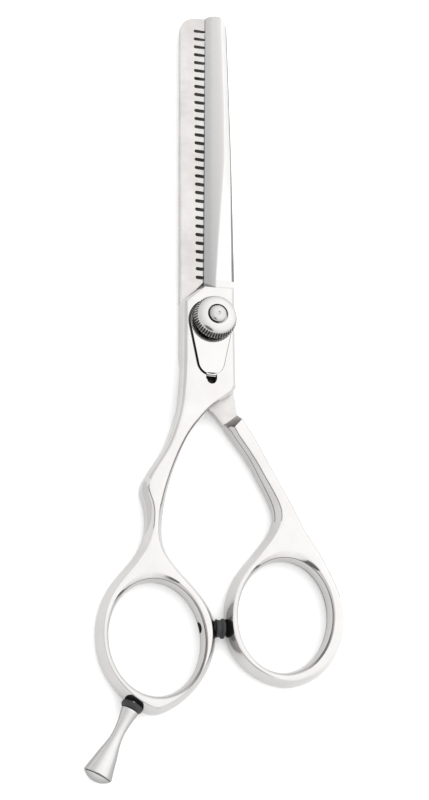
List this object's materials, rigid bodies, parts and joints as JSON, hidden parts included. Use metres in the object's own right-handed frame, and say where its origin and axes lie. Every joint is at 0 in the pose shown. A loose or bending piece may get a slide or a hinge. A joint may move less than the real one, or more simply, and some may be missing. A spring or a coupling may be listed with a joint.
{
  "type": "thinning shears",
  "caption": "Hairdresser's thinning shears with a toothed blade, a plain cutting blade, a knurled tension dial, two finger rings, a rubber bumper and a screw-in finger rest.",
  "frame": {"origin": "middle of the underside of the shears lying flat, closed", "axes": "+Z is the pivot axis and points up from the back to the dial; +Y runs to the blade tips; +X is to the right, towards the thumb ring"},
  "size_m": [0.0566, 0.1788, 0.0107],
  "materials": {
    "polished_steel": "mirror polished",
    "satin_steel": "satin ride face, polished handle",
    "screw_steel": "polished",
    "spring_steel": "polished",
    "dial_steel": "polished, knurled edges",
    "rest_steel": "polished",
    "washer_plastic": "plain",
    "rubber": "matt"
  },
  "bodies": {
    "thumb_side": {"toothed_member": "satin_steel"},
    "finger_side": {"cutting_member": "polished_steel", "pivot_bolt": "screw_steel", "pivot_washer": "washer_plastic", "tension_plate": "spring_steel", "bumper": "rubber", "rest_pad": "rubber", "finger_rest": "rest_steel"},
    "dial": {"tension_dial": "dial_steel"}
  },
  "joints": [
    {"name": "blade_pivot", "type": "hinge", "parent": "thumb_side", "child": "finger_side", "pos_m": [-0.00205, 0.01143, 0.0032], "axis": [0, 0, -1], "range_deg": [0, 120]},
    {"name": "dial_turn", "type": "hinge", "parent": "finger_side", "child": "dial", "pos_m": [-0.00205, 0.01143, 0.008], "axis": [0, 0, 1], "range_deg": [-20, 180]}
  ]
}
